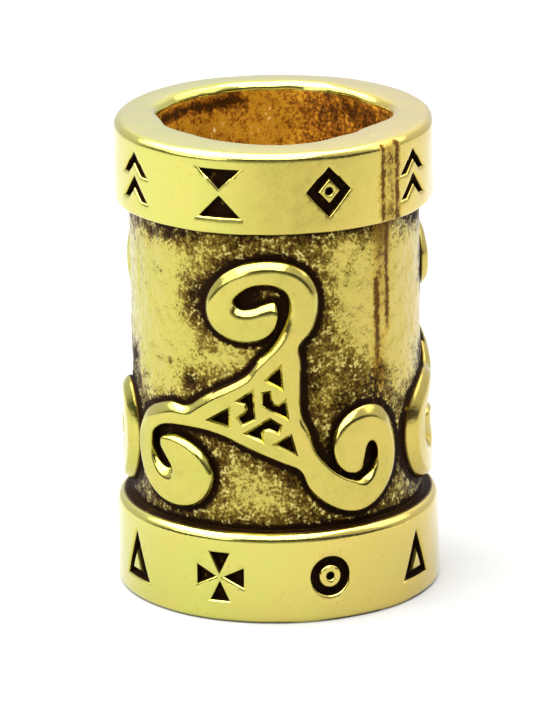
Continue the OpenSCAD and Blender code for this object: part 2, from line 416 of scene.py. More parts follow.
# Triskeles: sizes are in millimetres and turns in degrees
triskele = {
    "reach": 6.0,
    "centreZ": 8.3,
    "relief": 0.42,
    "root": 0.33,
    "turns": (0, 123.5, 240),
    "armTurn": 120,
    "curls": ("openCurl", "closedCurl", "closedCurl"),
    # widths of the sloped edges: sideways, upwards, downwards, and their share of that on the plate
    "slopes": (0.22, 0.54, 0.13),
    "plateShare": 0.72,
    "mostSlope": 0.92,
    # each arm's share of its inner slope on its neck, and the parts of the arm where that begins and ends
    "neckShares": (1.4, 1, 0.15),
    "neckBegins": (0.02, 0.16),
    "neckEnds": (0.25, 0.36),
    # the slope of an edge, from its foot to the flat top: shares of its width and of the relief's height
    "slope": (
        (0, 0.86), (0.04, 0.7), (0.08, 0.56), (0.24, 0.43), (0.4, 0.3), (0.66, 0.12), (0.84, 0.02), (1, 0),
    ),
    "overlap": 0.03,
    "growth": 0.08,
    "outerThinning": 1.3,
    # steps to each row, steps in which the arm leaves the centre, and those between which it becomes a curl
    "rowSteps": 4,
    "centreSteps": 6,
    "curlSteps": (8, 16),
    "sideFill": (1, 1.13, 1),
    "hubRadius": 1.1,
    "hubSides": 24,
    "voxel": 0.045,
    "smoothFactor": 0.5,
    "smoothing": 12,
    "footDrop": 0.2,
    "castWaves": 0.03,
    # the carving in the centre
    "carvingDrop": 0.18,
    "carvingDepth": 0.34,
    "carvingRadius": 2.0,
    "chamfer": 0.09,
    # tarnish on the tops, and the depths over which the dirt begins on the carving, and dirt with painted
    # shade on the foot
    "tarnish": 0.19,
    "carvingDirt": (0.12, 0.2),
    "footDirtAndShade": (0.26, 0.36),
    # shares of the reach from the centre: the foot of the plate's side across and out,
    # then outer edge across and out, inner edge across and out
    "plate": [
        (-0.112, 0.205),
        (0.238, 0.265, -0.020, 0.310),
        (0.228, 0.400, 0.085, 0.425),
    ],
    "openCurl": [
        (0.305, 0.505, 0.150, 0.535), (0.345, 0.640, 0.178, 0.640), (0.340, 0.770, 0.155, 0.735),
        (0.280, 0.880, 0.100, 0.780), (0.175, 0.945, 0.050, 0.792), (0.040, 0.965, 0.000, 0.790),
        (-0.105, 0.940, -0.060, 0.778), (-0.240, 0.865, -0.120, 0.742), (-0.335, 0.750, -0.165, 0.695),
        (-0.352, 0.640, -0.166, 0.660), (-0.310, 0.540, -0.142, 0.638), (-0.225, 0.478, -0.102, 0.630),
        (-0.105, 0.452, -0.045, 0.637), (0.015, 0.475, 0.020, 0.660), (0.085, 0.532, 0.085, 0.672),
        (0.106, 0.590, 0.108, 0.640),
    ],
    "closedCurl": [
        (0.300, 0.505, 0.145, 0.540), (0.335, 0.640, 0.172, 0.660), (0.330, 0.780, 0.160, 0.765),
        (0.275, 0.895, 0.115, 0.815), (0.170, 0.975, 0.065, 0.838), (0.040, 1.008, 0.015, 0.843),
        (-0.095, 0.990, -0.035, 0.835), (-0.220, 0.915, -0.082, 0.810), (-0.310, 0.800, -0.110, 0.768),
        (-0.340, 0.675, -0.106, 0.742), (-0.300, 0.565, -0.082, 0.733), (-0.210, 0.488, -0.050, 0.738),
        (-0.095, 0.470, -0.010, 0.750), (0.015, 0.508, 0.030, 0.762), (0.092, 0.585, 0.070, 0.765),
        (0.120, 0.675, 0.102, 0.740),
    ],
    "cornerRecess": [(0.115, 0.299), (0.036, 0.223), (0.123, 0.173)],
    "hookRecess": [
        (0.008, 0.135), (0.048, 0.142), (0.054, 0.088), (0.073, 0.057), (0.110, 0.052),
        (0.144, 0.081), (0.154, -0.019), (0.110, 0.005), (0.034, 0.043), (0.004, 0.060),
    ],
}
# the lower curls of the front triskele are larger: how far each goes outwards and the left one down,
# and the distances from the middle and the heights over which that begins
frontCurls = {
    "left": 0.3,
    "right": 0.12,
    "leftDown": 0.18,
    "outwards": (1, 3.6),
    "below": (8.2, 9.6),
    "downOutwards": (1.5, 3.6),
    "downAbove": (6.4, 8.6),
}


def splineRows(rows, steps):
    # a smooth curve through the rows
    fine = []
    last = len(rows) - 1
    for i in range(last):
        a, b, c, d = rows[max(i - 1, 0)], rows[i], rows[i + 1], rows[min(i + 2, last)]
        for step in range(steps):
            t = step / steps
            fine.append([
                q + t * ((r - p) / 2 + t * (
                    p - 2.5 * q + 2 * r - s / 2 + t * (1.5 * q - p / 2 - 1.5 * r + s / 2)))
                for p, q, r, s in zip(a, b, c, d)
            ])
    fine.append(list(rows[last]))
    return fine


def flatPoint(across, out, turn, drop=0):
    # from shares of the reach to a place on the flat drawing
    angle = math.radians(turn)
    x = across * math.cos(angle) - out * math.sin(angle)
    z = across * math.sin(angle) + out * math.cos(angle)
    return Vector((x * triskele["reach"], 0, z * triskele["reach"] + triskele["centreZ"] - drop))


def widenOutline(points, amount):
    # moves every side of an outline outwards by the same amount
    pairs = list(zip(points, points[1:] + points[:1]))
    way = amount * math.copysign(1, sum(a.x * b.z - b.x * a.z for a, b in pairs))
    wide = []
    for i, point in enumerate(points):
        edges = point - points[i - 1], points[(i + 1) % len(points)] - point
        sides = [Vector((edge.z, 0, -edge.x)).normalized() for edge in edges]
        wide.append(point + (sides[0] + sides[1]) * way / (1 + sides[0].dot(sides[1])))
    return wide


def nearestIndex(co, points):
    distances = [(co - point).length for point in points]
    return distances.index(min(distances))


def extrudeOutline(name, outlines, levels):
    # a filled outline, extruded from level to level, with its own outline at each
    deselectAll()
    bpy.ops.mesh.primitive_circle_add(vertices=len(outlines[0]), fill_type="NGON", location=(0, 0, 0))
    obj = bpy.context.object
    obj.name = name
    startEdit(obj)
    last = None
    for outline, y in zip(outlines, levels):
        if last:
            bpy.ops.mesh.extrude_region_move()
        mesh = bmesh.from_edit_mesh(obj.data)
        for i, vert in enumerate([vert for vert in mesh.verts if vert.select]):
            if last:
                i = nearestIndex(vert.co, last)
            vert.co = Vector((outline[i].x, y, outline[i].z))
        bmesh.update_edit_mesh(obj.data)
        last = [Vector((point.x, y, point.z)) for point in outline]
    turnFacesOut()
    endEdit()
    return obj


def slopeWidth(up, curl):
    # edges that face up slope widely and catch the light, those that face down are steep
    side, top, under = triskele["slopes"]
    width = side + (top - side) * max(up, 0) + (side - under) * min(up, 0)
    return width * (triskele["plateShare"] + (1 - triskele["plateShare"]) * curl)


def armSection(ends, middle, ups, curl, neck):
    # a row of points from the inner to the outer edge; curl goes from 0 on the plate to 1 on the curl
    growths = [triskele["growth"] * share for share in (
        1 + ups[0] * curl, 1 - triskele["outerThinning"] * ups[1] * curl)]
    ends = [end + (end - middle).normalized() * growth for end, growth in zip(ends, growths)]
    width = sum((end - middle).length for end in ends)
    slopes = [slopeWidth(ups[0], curl) * neck, slopeWidth(ups[1], curl)]
    squeeze = min(1, triskele["mostSlope"] * width / sum(slopes))
    slope = triskele["slope"]
    places = [(share * slopes[0] * squeeze / width, below) for share, below in slope]
    places += [(1 - share * slopes[1] * squeeze / width, below) for share, below in reversed(slope)]
    points = []
    for share, below in places:
        point = ends[0].lerp(middle, 2 * share) if share < 0.5 else middle.lerp(ends[1], 2 * share - 1)
        points.append(point + Vector((0, below * triskele["relief"], 0)))
    return points


def facingUp(before, after, end, middle):
    # how far an edge, between the points before and after it, faces upwards
    run = (after - before).normalized()
    side = Vector((run.z, 0, -run.x))
    return side.z if side.dot(end - middle) > 0 else -side.z


def armSections(curl, number):
    # the plate's foot lies halfway along its side, where one arm meets the next without a corner
    turn = number * triskele["armTurn"]
    onward, backward = [Matrix.Rotation(math.radians(way * triskele["armTurn"]), 2) for way in (1, -1)]
    plate = triskele["plate"]
    foot = Vector(plate[0]) * triskele["sideFill"][number]
    otherFoot = backward @ Vector(plate[0]) * triskele["sideFill"][number - 1]
    before = (*(backward @ Vector(plate[1][2:])), *(onward @ Vector(plate[1][:2])))
    steps = triskele["rowSteps"]
    rows = splineRows([before, (*otherFoot, *foot)] + plate[1:] + triskele[curl], steps)
    edges = [(flatPoint(row[2], row[3], turn), flatPoint(row[0], row[1], turn)) for row in rows]
    curlFrom, curlTo = triskele["curlSteps"]
    sections = []
    for i, ends in enumerate(edges[steps:]):
        middle = flatPoint(0, 0, turn).lerp((ends[0] + ends[1]) / 2, min(i / triskele["centreSteps"], 1))
        before, after = edges[steps + i - 1], edges[min(steps + i + 1, len(edges) - 1)]
        ups = [facingUp(before[side], after[side], ends[side], middle) for side in (0, 1)]
        part = i / (len(edges) - steps)
        onNeck = smoothStep(*triskele["neckBegins"], part) * (1 - smoothStep(*triskele["neckEnds"], part))
        neck = 1 + (triskele["neckShares"][number] - 1) * onNeck
        curled = min(max((i - curlFrom) / (curlTo - curlFrom), 0), 1)
        sections.append(armSection(ends, middle, ups, curled, neck))
    slide = flatPoint(0, -triskele["overlap"], turn) - flatPoint(0, 0, turn)
    return [[point + slide for point in sections[0]]] + sections


def extrudeArm(sections, back):
    # a row of points across the arm, pulled from section to section and then given its thickness
    count = len(sections[0])
    deselectAll()
    bpy.ops.mesh.primitive_grid_add(x_subdivisions=count - 1, y_subdivisions=1, size=1, location=(0, 0, 0))
    arm = bpy.context.object
    startEdit(arm)
    mesh = bmesh.from_edit_mesh(arm.data)
    mesh.verts.ensure_lookup_table()
    for vert, point in zip(mesh.verts, sections[0] + sections[1]):
        vert.co = point
    bmesh.update_edit_mesh(arm.data)
    selectParts(arm, "VERT", lambda vert: vert.index >= count)
    for last, following in zip(sections[1:], sections[2:]):
        bpy.ops.mesh.extrude_region_move()
        mesh = bmesh.from_edit_mesh(arm.data)
        for vert in mesh.verts:
            if vert.select:
                vert.co = following[nearestIndex(vert.co, last)]
        bmesh.update_edit_mesh(arm.data)
    bpy.ops.mesh.select_all(action="SELECT")
    bpy.ops.mesh.extrude_region_move(TRANSFORM_OT_translate={"value": (0, back, 0)})
    mesh = bmesh.from_edit_mesh(arm.data)
    for vert in mesh.verts:
        if vert.select:
            vert.co.y = back
    bmesh.update_edit_mesh(arm.data)
    turnFacesOut()
    endEdit()
    return arm


def makeCarving():
    # recesses with chamfered edges, joined into one cutter
    chamfer = triskele["chamfer"]
    levels = (-chamfer, chamfer, triskele["carvingDepth"])
    cutters = []
    for number in range(len(triskele["curls"])):
        for shape in ("cornerRecess", "hookRecess"):
            turn = number * triskele["armTurn"]
            points = [flatPoint(x, z, turn, triskele["carvingDrop"]) for x, z in triskele[shape]]
            wide = widenOutline(points, 2 * chamfer)
            cutters.append(extrudeOutline("recess", [wide, points, points], levels))
    pick(*cutters)
    bpy.ops.object.join()
    return bpy.context.object


def makeTriskele():
    back = triskele["relief"] + triskele["root"]
    arms = [extrudeArm(armSections(curl, number), back) for number, curl in enumerate(triskele["curls"])]
    middle = flatPoint(0, 0, 0)
    deselectAll()
    bpy.ops.mesh.primitive_cylinder_add(
        vertices=triskele["hubSides"], radius=triskele["hubRadius"], depth=back,
        location=(middle.x, back / 2, middle.z), rotation=(math.pi / 2, 0, 0))
    bpy.ops.object.transform_apply(location=True, rotation=True, scale=True)
    pick(*arms, bpy.context.object)
    bpy.ops.object.join()
    relief = bpy.context.object
    applyModifier(relief, "REMESH", mode="VOXEL", voxel_size=triskele["voxel"])
    applyModifier(relief, "SMOOTH", factor=triskele["smoothFactor"], iterations=triskele["smoothing"])
    cutAway(relief, makeCarving())
    return relief


def reliefPatinaAndShade(co):
    # dark at the foot of the relief, dirt with painted shade, and on the floors of the carving
    fromCentre = math.hypot(co.x, co.z - triskele["centreZ"] + triskele["carvingDrop"])
    where = "carvingDirt" if fromCentre < triskele["carvingRadius"] else "footDirtAndShade"
    return triskele["tarnish"] + (1 - triskele["tarnish"]) * smoothStep(*triskele[where], co.y)


def spreadFoot(obj):
    # the outline was measured on the flat tops, so the foot is spread to keep it on the narrower sleeve
    outside = bead["sleeveRadius"] + triskele["relief"]
    for vert in obj.data.vertices:
        vert.co.x *= outside / (outside - vert.co.y)
        vert.co.z -= triskele["footDrop"] * min(vert.co.y, triskele["relief"])


def swellCurls(obj):
    for vert in obj.data.vertices:
        low = 1 - smoothStep(*frontCurls["below"], vert.co.z)
        vert.co.x -= frontCurls["left"] * low * smoothStep(*frontCurls["outwards"], -vert.co.x)
        vert.co.x += frontCurls["right"] * low * smoothStep(*frontCurls["outwards"], vert.co.x)
        down = frontCurls["leftDown"] * smoothStep(*frontCurls["downOutwards"], -vert.co.x)
        vert.co.z -= down * smoothStep(*frontCurls["downAbove"], vert.co.z)


def makeTriskeles():
    master = makeTriskele()
    copies = []
    for number, turn in enumerate(triskele["turns"], 1):
        copy = duplicate(master)
        copy.name = "triskele_%d" % number
        paint(copy, "patinaAndShade", reliefPatinaAndShade)
        spreadFoot(copy)
        if number == 1:
            swellCurls(copy)
        displace(copy, softTexture, triskele["castWaves"])
        bendRound(copy, bead["sleeveRadius"] + triskele["relief"])
        turnRound(copy, turn)
        copies.append(copy)
    bpy.data.objects.remove(master)
    return copies


# the whole casting is very slightly uneven
softCast = {"size": 2.2, "depth": 1}
softTexture = addClouds("softCast", softCast["size"], softCast["depth"])
polishedGold = makeAgedGold("polishedGold", finishes["polished"])
groundGold = makeAgedGold("groundGold", finishes["ground"])
triskeles = makeTriskeles()
print("triskeles modelled")


# Sleeve: a tube whose ground is uneven and pitted
sleeve = {
    "around": 456,
    "cuts": 100,
    "innerUp": 16,
    "skin": 0.1,
    "edge": 0.05,
    "groundLevel": 0.55,
    "groundDepth": 2,
    # size and strength
    "groundWaves": (0.9, 0.09),
    "groundPits": (0.2, 0.07),
}


def makeSleeve():
    height = upperCollarZ - lowerCollarZ
    deselectAll()
    bpy.ops.mesh.primitive_cylinder_add(
        vertices=sleeve["around"], radius=bead["sleeveRadius"], depth=height,
        end_fill_type="NOTHING", location=(0, 0, lowerCollarZ + height / 2))
    tube = bpy.context.object
    tube.name = "sleeve"
    bpy.ops.object.transform_apply(location=True)
    startEdit(tube)
    selectParts(tube, "EDGE", lambda edge: abs(edge.verts[0].co.z - edge.verts[1].co.z) > height / 2)
    bpy.ops.mesh.subdivide(number_cuts=sleeve["cuts"])
    # the lower edge is pulled inwards, up along the bore and out again to the upper edge
    selectParts(tube, "EDGE", lambda edge: all(vert.co.z < lowerCollarZ + touching for vert in edge.verts))
    share = bead["boreRadius"] / bead["sleeveRadius"]
    step = height / sleeve["innerUp"]
    bpy.ops.mesh.extrude_region_move()
    bpy.ops.transform.resize(value=(share, share, 1), center_override=(0, 0, lowerCollarZ))
    for i in range(sleeve["innerUp"]):
        bpy.ops.mesh.extrude_region_move(TRANSFORM_OT_translate={"value": (0, 0, step)})
    bpy.ops.mesh.extrude_region_move()
    bpy.ops.transform.resize(value=(1 / share, 1 / share, 1), center_override=(0, 0, upperCollarZ))
    bpy.ops.mesh.select_all(action="SELECT")
    bpy.ops.mesh.remove_doubles(threshold=touching)
    turnFacesOut()
    endEdit()
    outside = tube.vertex_groups.new(name="outside")
    outside.add([
        vert.index for vert in tube.data.vertices
        if radiusOf(vert.co) > bead["sleeveRadius"] - sleeve["skin"]
        and lowerCollarZ + sleeve["edge"] < vert.co.z < upperCollarZ - sleeve["edge"]
    ], 1, "REPLACE")
    for name in ("groundWaves", "groundPits"):
        size, strength = sleeve[name]
        texture = addClouds(name, size, sleeve["groundDepth"])
        displace(tube, texture, strength, sleeve["groundLevel"], "outside")
    return tube


sleeveObject = makeSleeve()
print("sleeve modelled")


# Collars: three flat pieces with a mark each, copied round in turn and bent into a ring
collars = {
    "upper": {
        "radius": 6.0, "low": upperCollarZ, "high": beadHeight, "turn": -14.5,
        "motifs": ("facingWedges", "lozenge", "chevrons"),
        "roundLow": 0.12, "roundHigh": 0.35, "mouth": "high",
    },
    "lower": {
        "radius": lowerRadius, "low": 0.0, "high": lowerCollarZ, "turn": -16,
        "motifs": ("wedgeCross", "ring", "triangle"),
        "roundLow": 0.2, "roundHigh": 0.38, "mouth": "low",
    },
}
collarShape = {
    "mouthRound": 0.35,
    "lowSegments": 5,
    "highSegments": 9,
    "mouthSegments": 8,
    "acrossStep": 0.105,
    "upStep": 0.35,
    "seam": 0.004,
    "castWaves": 0.06,
}
marks = {
    "count": 9, "width": 1.8, "height": 2.0, "stroke": 0.3, "depth": 0.28,
    "pellet": 0.14, "pelletSides": 16, "ringRadius": 0.756, "ringSides": 48,
    # from above the surface to the floor: depth and how much wider the cut is there
    "profile": ((-0.06, 0.12), (0, 0.075), (0.012, 0.05), (0.035, 0.022), (0.075, 0), (0.28, -0.04)),
    "coreStretch": 1.4,
}
# outlines of the marks, in shares of half their width and height
motifs = {
    "wedge": ((-0.86, 0.93), (0.86, 0.93), (0, 0.14)),
    "lozenge": ((0, 0.96), (0.96, 0), (0, -0.96), (-0.96, 0)),
    "chevron": ((-0.9, 0), (0, 0.9), (0.9, 0), (0.5, 0), (0, 0.45), (-0.5, 0)),
    "chevronLows": (-0.92, 0.04),
    "crossWedge": ((0, 0.2), (0.4, 0.93), (-0.4, 0.93)),
    "triangle": ((0, 0.96), (0.92, -0.9), (-0.92, -0.9)),
}
# in millimetres: depths over which dirt begins in the marks, and dirt with painted shade under the collar,
# and how far it reaches
collarDirtAndShade = {
    "markDepths": (0.03, 0.075),
    "markMargin": 0.45,
    "pastMark": 0.05,
    "ledgeDepths": (0.15, 0.35),
    "nearLedge": 0.05,
    "pastLedge": 0.1,
}


def addOutline(points, inset=0, core=False):
    # a cutter from shares of half the mark, worn round at the surface and drawn in towards its floor;
    # a core is what stays standing inside a cutter
    flat = [Vector((x * marks["width"] / 2, 0, z * marks["height"] / 2)) for x, z in points]
    flat = widenOutline(flat, -inset)
    way = -1 if core else 1
    outlines = [widenOutline(flat, way * width) for _, width in marks["profile"]]
    return extrudeOutline("outline", outlines, [y for y, _ in marks["profile"]])


def addFrame(points):
    outer, core = addOutline(points), addOutline(points, marks["stroke"], core=True)
    core.data.transform(Matrix.Scale(marks["coreStretch"], 4, (0, 1, 0)))
    cutAway(outer, core)
    return outer


def roundPoints(radius, count):
    turns = [2 * math.pi * i / count for i in range(count)]
    return [
        (2 * radius * math.cos(turn) / marks["width"], 2 * radius * math.sin(turn) / marks["height"])
        for turn in turns
    ]


def addPellet():
    return addOutline(roundPoints(marks["pellet"], marks["pelletSides"]))


def makeMotif(kind):
    if kind == "facingWedges":
        parts = [addOutline([(x, way * z) for x, z in motifs["wedge"]]) for way in (-1, 1)]
    elif kind == "lozenge":
        parts = [addFrame(motifs["lozenge"]), addPellet()]
    elif kind == "chevrons":
        parts = [addOutline([(x, low + z) for x, z in motifs["chevron"]]) for low in motifs["chevronLows"]]
    elif kind == "wedgeCross":
        turns = (0, 90, 180, 270)
        parts = [addOutline(motifs["crossWedge"]) for turn in turns]
        for wedge, turn in zip(parts, turns):
            turnRound(wedge, turn, "Y")
    elif kind == "ring":
        parts = [addFrame(roundPoints(marks["ringRadius"], marks["ringSides"])), addPellet()]
    else:
        parts = [addFrame(motifs["triangle"])]
    pick(*parts)
    if len(parts) > 1:
        bpy.ops.object.join()
    return bpy.context.object


def collarPatinaAndShade(collar, co):
    # dark on the floors of the marks, and dirt with painted shade where the collar meets the sleeve
    low, high = collar["low"], collar["high"]
    margin = collarDirtAndShade["markMargin"]
    if co.y < marks["depth"] + collarDirtAndShade["pastMark"] and low + margin < co.z < high - margin:
        return smoothStep(*collarDirtAndShade["markDepths"], co.y)
    # painted shade with the dirt in the corner between the collar and the sleeve
    ledge = low if collar["mouth"] == "high" else high
    ledgeDepth = collar["radius"] - bead["sleeveRadius"] + collarDirtAndShade["pastLedge"]
    if abs(co.z - ledge) < collarDirtAndShade["nearLedge"] and co.y < ledgeDepth:
        return smoothStep(*collarDirtAndShade["ledgeDepths"], co.y)
    return 0


def makeSector(collar, motif):
    # one mark's share of the collar, flat, with its ends open
    low, high = collar["low"], collar["high"]
    half = math.pi * collar["radius"] / marks["count"]
    depth = collar["radius"] - bead["boreRadius"]
    sector = addCube("sector", (-half, 0, low), (half, depth, high))
    startEdit(sector)
    mouthZ = high if collar["mouth"] == "high" else low
    for y, z, offset, segments in (
            (0, low, collar["roundLow"], collarShape["lowSegments"]),
            (0, high, collar["roundHigh"], collarShape["highSegments"]),
            (depth, mouthZ, collarShape["mouthRound"], collarShape["mouthSegments"])):
        selectParts(sector, "EDGE", lambda edge: all(
            abs(vert.co.y - y) < touching and abs(vert.co.z - z) < touching for vert in edge.verts))
        bpy.ops.mesh.bevel(offset=offset, segments=segments, affect="EDGES")
    endEdit()
    cutter = makeMotif(motif)
    cutter.data.transform(Matrix.Translation((0, 0, (low + high) / 2)))
    cutAway(sector, cutter, useSelf=True)
    startEdit(sector)
    selectParts(sector, "FACE", lambda face: abs(abs(face.calc_center_median().x) - half) < touching)
    bpy.ops.mesh.delete(type="FACE")
    endEdit()
    bisectRow(sector, -half, half, collarShape["acrossStep"], (1, 0, 0))
    bisectRow(sector, low, high, collarShape["upStep"], (0, 0, 1))
    paint(sector, "patinaAndShade", lambda co: collarPatinaAndShade(collar, co))
    return sector


def makeCollar(name, collar):
    sectors = [makeSector(collar, motif) for motif in collar["motifs"]]
    pitch = 2 * math.pi * collar["radius"] / marks["count"]
    middle = marks["count"] // 2
    copies = []
    for i in range(marks["count"]):
        copy = duplicate(sectors[i % len(sectors)])
        copy.data.transform(Matrix.Translation(((i - middle) * pitch, 0, 0)))
        copies.append(copy)
    for sector in sectors:
        bpy.data.objects.remove(sector)
    pick(*copies)
    bpy.ops.object.join()
    ring = bpy.context.object
    ring.name = name
    bendRound(ring, collar["radius"])
    startEdit(ring)
    bpy.ops.mesh.select_all(action="SELECT")
    bpy.ops.mesh.remove_doubles(threshold=collarShape["seam"])
    turnFacesOut()
    endEdit()
    displace(ring, softTexture, collarShape["castWaves"])
    turnRound(ring, collar["turn"] + middle * 360 / marks["count"])
    return ring


collarObjects = []
for key, collar in collars.items():
    collarObjects.append(makeCollar(key + "_collar", collar))
    print(key, "collar modelled")
upperCollar, lowerCollar = collarObjects


# The bore is rough, and bulges inwards at the front right of the upper mouth.
boreShape = {
    "rough": 0.09,
    "roughSize": 1.1,
    "roughInwards": 0.35,
    # radii over which the roughness ends on the rim
    "rimFade": (4.62, 5.3),
    # degrees round, width in degrees and how far inwards
    "bulges": (
        (62, 16, 0.5), (38, 12, 0.2), (-46, 22, 0.34), (-76, 14, 0.16), (12, 16, -0.14), (137, 18, 0.25),
    ),
    # depths under the rim between which the bulges grow
    "bulgeDepths": (5.0, 0.5),
    # radius where the polish ends, and the depths under the rim where the bare metal ends
    "bareRadii": (4.5, 4.64),
    "bareDepths": (0.4, 0.28),
}
rimShape = {"crownStart": 4.8, "crownEnd": 5.65, "crownDrop": 0.05, "thickness": 1, "baseFlat": 0.03}


def belowRim(depths, co):
    # from 0 at the first depth under the rim to 1 at the second
    return smoothStep(beadHeight - depths[0], beadHeight - depths[1], co.z)


def shapeBore(obj):
    for vert in obj.data.vertices:
        radius = radiusOf(vert.co)
        share = 1 - smoothStep(*boreShape["rimFade"], radius)
        if share == 0:
            continue
        angle = angleOf(vert.co)
        wave = noise.noise(vert.co / boreShape["roughSize"]) + boreShape["roughInwards"]
        inwards = boreShape["rough"] * wave
        depth = belowRim(boreShape["bulgeDepths"], vert.co)
        for middle, width, amount in boreShape["bulges"]:
            inwards += amount * depth * bell(angle - middle, width)
        scale = 1 - share * inwards / radius
        vert.co.x *= scale
        vert.co.y *= scale


def crownRim(obj):
    # the rim is worn a little lower towards the outside
    start, end = rimShape["crownStart"], rimShape["crownEnd"]
    for vert in obj.data.vertices:
        radius = radiusOf(vert.co)
        if radius > start and vert.co.z > beadHeight - rimShape["thickness"]:
            vert.co.z -= rimShape["crownDrop"] * min((radius - start) / (end - start), 1) ** 2


def flattenBase(obj):
    # the bead stands on this end
    for vert in obj.data.vertices:
        if vert.co.z < rimShape["baseFlat"]:
            vert.co.z = 0


def borePaint(co):
    inside = 1 - smoothStep(*boreShape["bareRadii"], radiusOf(co))
    return inside * (1 - belowRim(boreShape["bareDepths"], co))


for obj in collarObjects + [sleeveObject]:
    paint(obj, "bore", borePaint)
    shapeBore(obj)
crownRim(upperCollar)
flattenBase(lowerCollar)
print("bore roughened")


# Stains and painted shade, by distance from the relief and from the collars, in millimetres and degrees
stainsAndShade = {
    "nearRelief": (0.1, 0.26),
    "nearLedge": (0.08, 0.26),
    "nearStrength": 1.2,
    # distances over which the mottled border ends, and its strength
    "mottledEnds": (0.3, 1.0),
    "mottled": 0.2,
    "open": 0.34,
    "hollows": 4,
    "skin": 0.4,
    "boreMargin": 0.3,
    # degrees round from the middle of a triskele, height, size and how much darker
    "patches": (
        (-44, 11.2, 2.2, -0.4), (-40, 13.0, 1.2, -0.25), (-29, 12.2, 1.0, 0.75), (64, 11.0, 2.6, -0.35),
        (34, 9.2, 0.8, 0.25), (50, 8.8, 0.9, 0.3), (12, 4.9, 0.8, 0.14), (41, 12.7, 1.2, -0.4),
        (36, 9.9, 1.0, 0.1), (-6, 4.9, 1.0, -0.12), (-40, 14.8, 0.9, 0.45), (-42, 9.9, 0.6, 0.3),
        (-5, 12.7, 0.55, 0.8), (49.5, 9.2, 0.36, 0.7), (-9, 10.4, 1.0, -0.3), (-31, 9.0, 0.45, 0.5),
    ),
    "tarnish": {"middle": 14, "half": 34, "strength": 0.24, "depths": (0.4, 0.2)},
}
# painted dark reflections: degrees round and half width, strength, and the heights over which a streak
# begins and ends
paintedReflections = (
    {"middle": 51.5, "half": 5.5, "strength": 0.85, "begins": (9.6, 13.0), "ends": (18.0, 18.2)},
    {"middle": 49.3, "half": 2.2, "strength": 1.3, "begins": (8.8, 10.0), "ends": (12.4, 13.6)},
    {"middle": 55.0, "half": 2.0, "strength": 1.25, "begins": (9.8, 11.2), "ends": (18.0, 18.2)},
    {"middle": 47.8, "half": 1.5, "strength": 1.25, "begins": (14.6, 15.4), "ends": (18.0, 18.2)},
    {"middle": 51.0, "half": 5.0, "strength": 0.6, "begins": (7.6, 9.0), "ends": (18.0, 18.2)},
)
# painted shade inside the bore under the mouth's edge, a narrow band where a step in the wall would throw
# shadow and a wide one further down: degrees round and half width, depths under the rim, and strength
boreShadeBands = (
    {"middle": -128, "half": 40, "top": 0.6, "bottom": 1.0, "strength": 0.55},
    {"middle": 118, "half": 62, "top": 0.4, "bottom": 6.0, "strength": 0.26},
)
boreShadeEdge = {
    "radius": 4.6, "soft": 0.2, "margin": 0.3, "ragged": 0.35, "raggedSize": 0.4, "sides": (0.6, 1),
}
reliefTrees = [BVHTree.FromObject(obj, bpy.context.evaluated_depsgraph_get()) for obj in triskeles]


def turnDifference(first, second):
    # the triskeles repeat at every third of a turn
    return (first - second + triskele["armTurn"] / 2) % triskele["armTurn"] - triskele["armTurn"] / 2


def sleevePatinaAndShade(co):
    radius = radiusOf(co)
    if radius < bead["sleeveRadius"] - stainsAndShade["skin"]:
        return 0
    nearest = min(tree.find_nearest(co)[3] for tree in reliefTrees)
    ledge = min(co.z - lowerCollarZ, upperCollarZ - co.z)
    # darkest next to the relief and the collars: dirt in the corners with painted shade
    cornerDirtAndShade = max(1 - smoothStep(*stainsAndShade["nearRelief"], nearest), 1 - smoothStep(*stainsAndShade["nearLedge"], ledge))
    level = stainsAndShade["open"] + stainsAndShade["hollows"] * (bead["sleeveRadius"] - radius)
    level += stainsAndShade["mottled"] * (1 - smoothStep(*stainsAndShade["mottledEnds"], min(nearest, ledge)))
    turn = (angleOf(co) + 180) % triskele["armTurn"] - triskele["armTurn"] / 2
    for angle, z, size, amount in stainsAndShade["patches"]:
        around = math.radians(turnDifference(turn, angle)) * radius
        level += amount * math.exp(-(around ** 2 + (co.z - z) ** 2) / size ** 2)
    return max(level, 0) * (1 - cornerDirtAndShade) + stainsAndShade["nearStrength"] * cornerDirtAndShade


def paintedReflectionLevel(co):
    # painted dark reflections as vertical stripes
    if radiusOf(co) < bead["boreRadius"] + stainsAndShade["boreMargin"]:
        return 0
    angle = angleOf(co)
    return max(
        line["strength"] * bell(angle - line["middle"], line["half"]) * smoothStep(*line["begins"], co.z) * (
            1 - smoothStep(*line["ends"], co.z))
        for line in paintedReflections)


def addPatinaAndShade(obj, level):
    # raises the patina and painted shade where the level is higher
    layer = obj.data.attributes["patinaAndShade"].data
    for vert in obj.data.vertices:
        layer[vert.index].value = max(layer[vert.index].value, level(vert.co))


def boreShadeLevel(line, co):
    edge = boreShadeEdge
    below = beadHeight - co.z
    if radiusOf(co) >= edge["radius"] or below >= line["bottom"] + edge["margin"]:
        return 0
    below += edge["ragged"] * noise.noise(co / edge["raggedSize"])
    wide = 1 - smoothStep(*edge["sides"], abs(angleOf(co) - line["middle"]) / line["half"])
    deep = smoothStep(line["top"] - edge["soft"], line["top"], below)
    deep *= 1 - smoothStep(line["bottom"] - edge["soft"], line["bottom"], below)
    return line["strength"] * wide * deep


def tarnishLevel(co):
    if radiusOf(co) <= bead["sleeveRadius"]:
        return 0
    tarnish = stainsAndShade["tarnish"]
    wide = bell(angleOf(co) - tarnish["middle"], tarnish["half"])
    return tarnish["strength"] * wide * (1 - belowRim(tarnish["depths"], co))


paint(sleeveObject, "patinaAndShade", sleevePatinaAndShade)
# painted dark reflections on the collars and the sleeve
for obj in collarObjects + [sleeveObject]:
    paint(obj, "paintedReflection", paintedReflectionLevel)
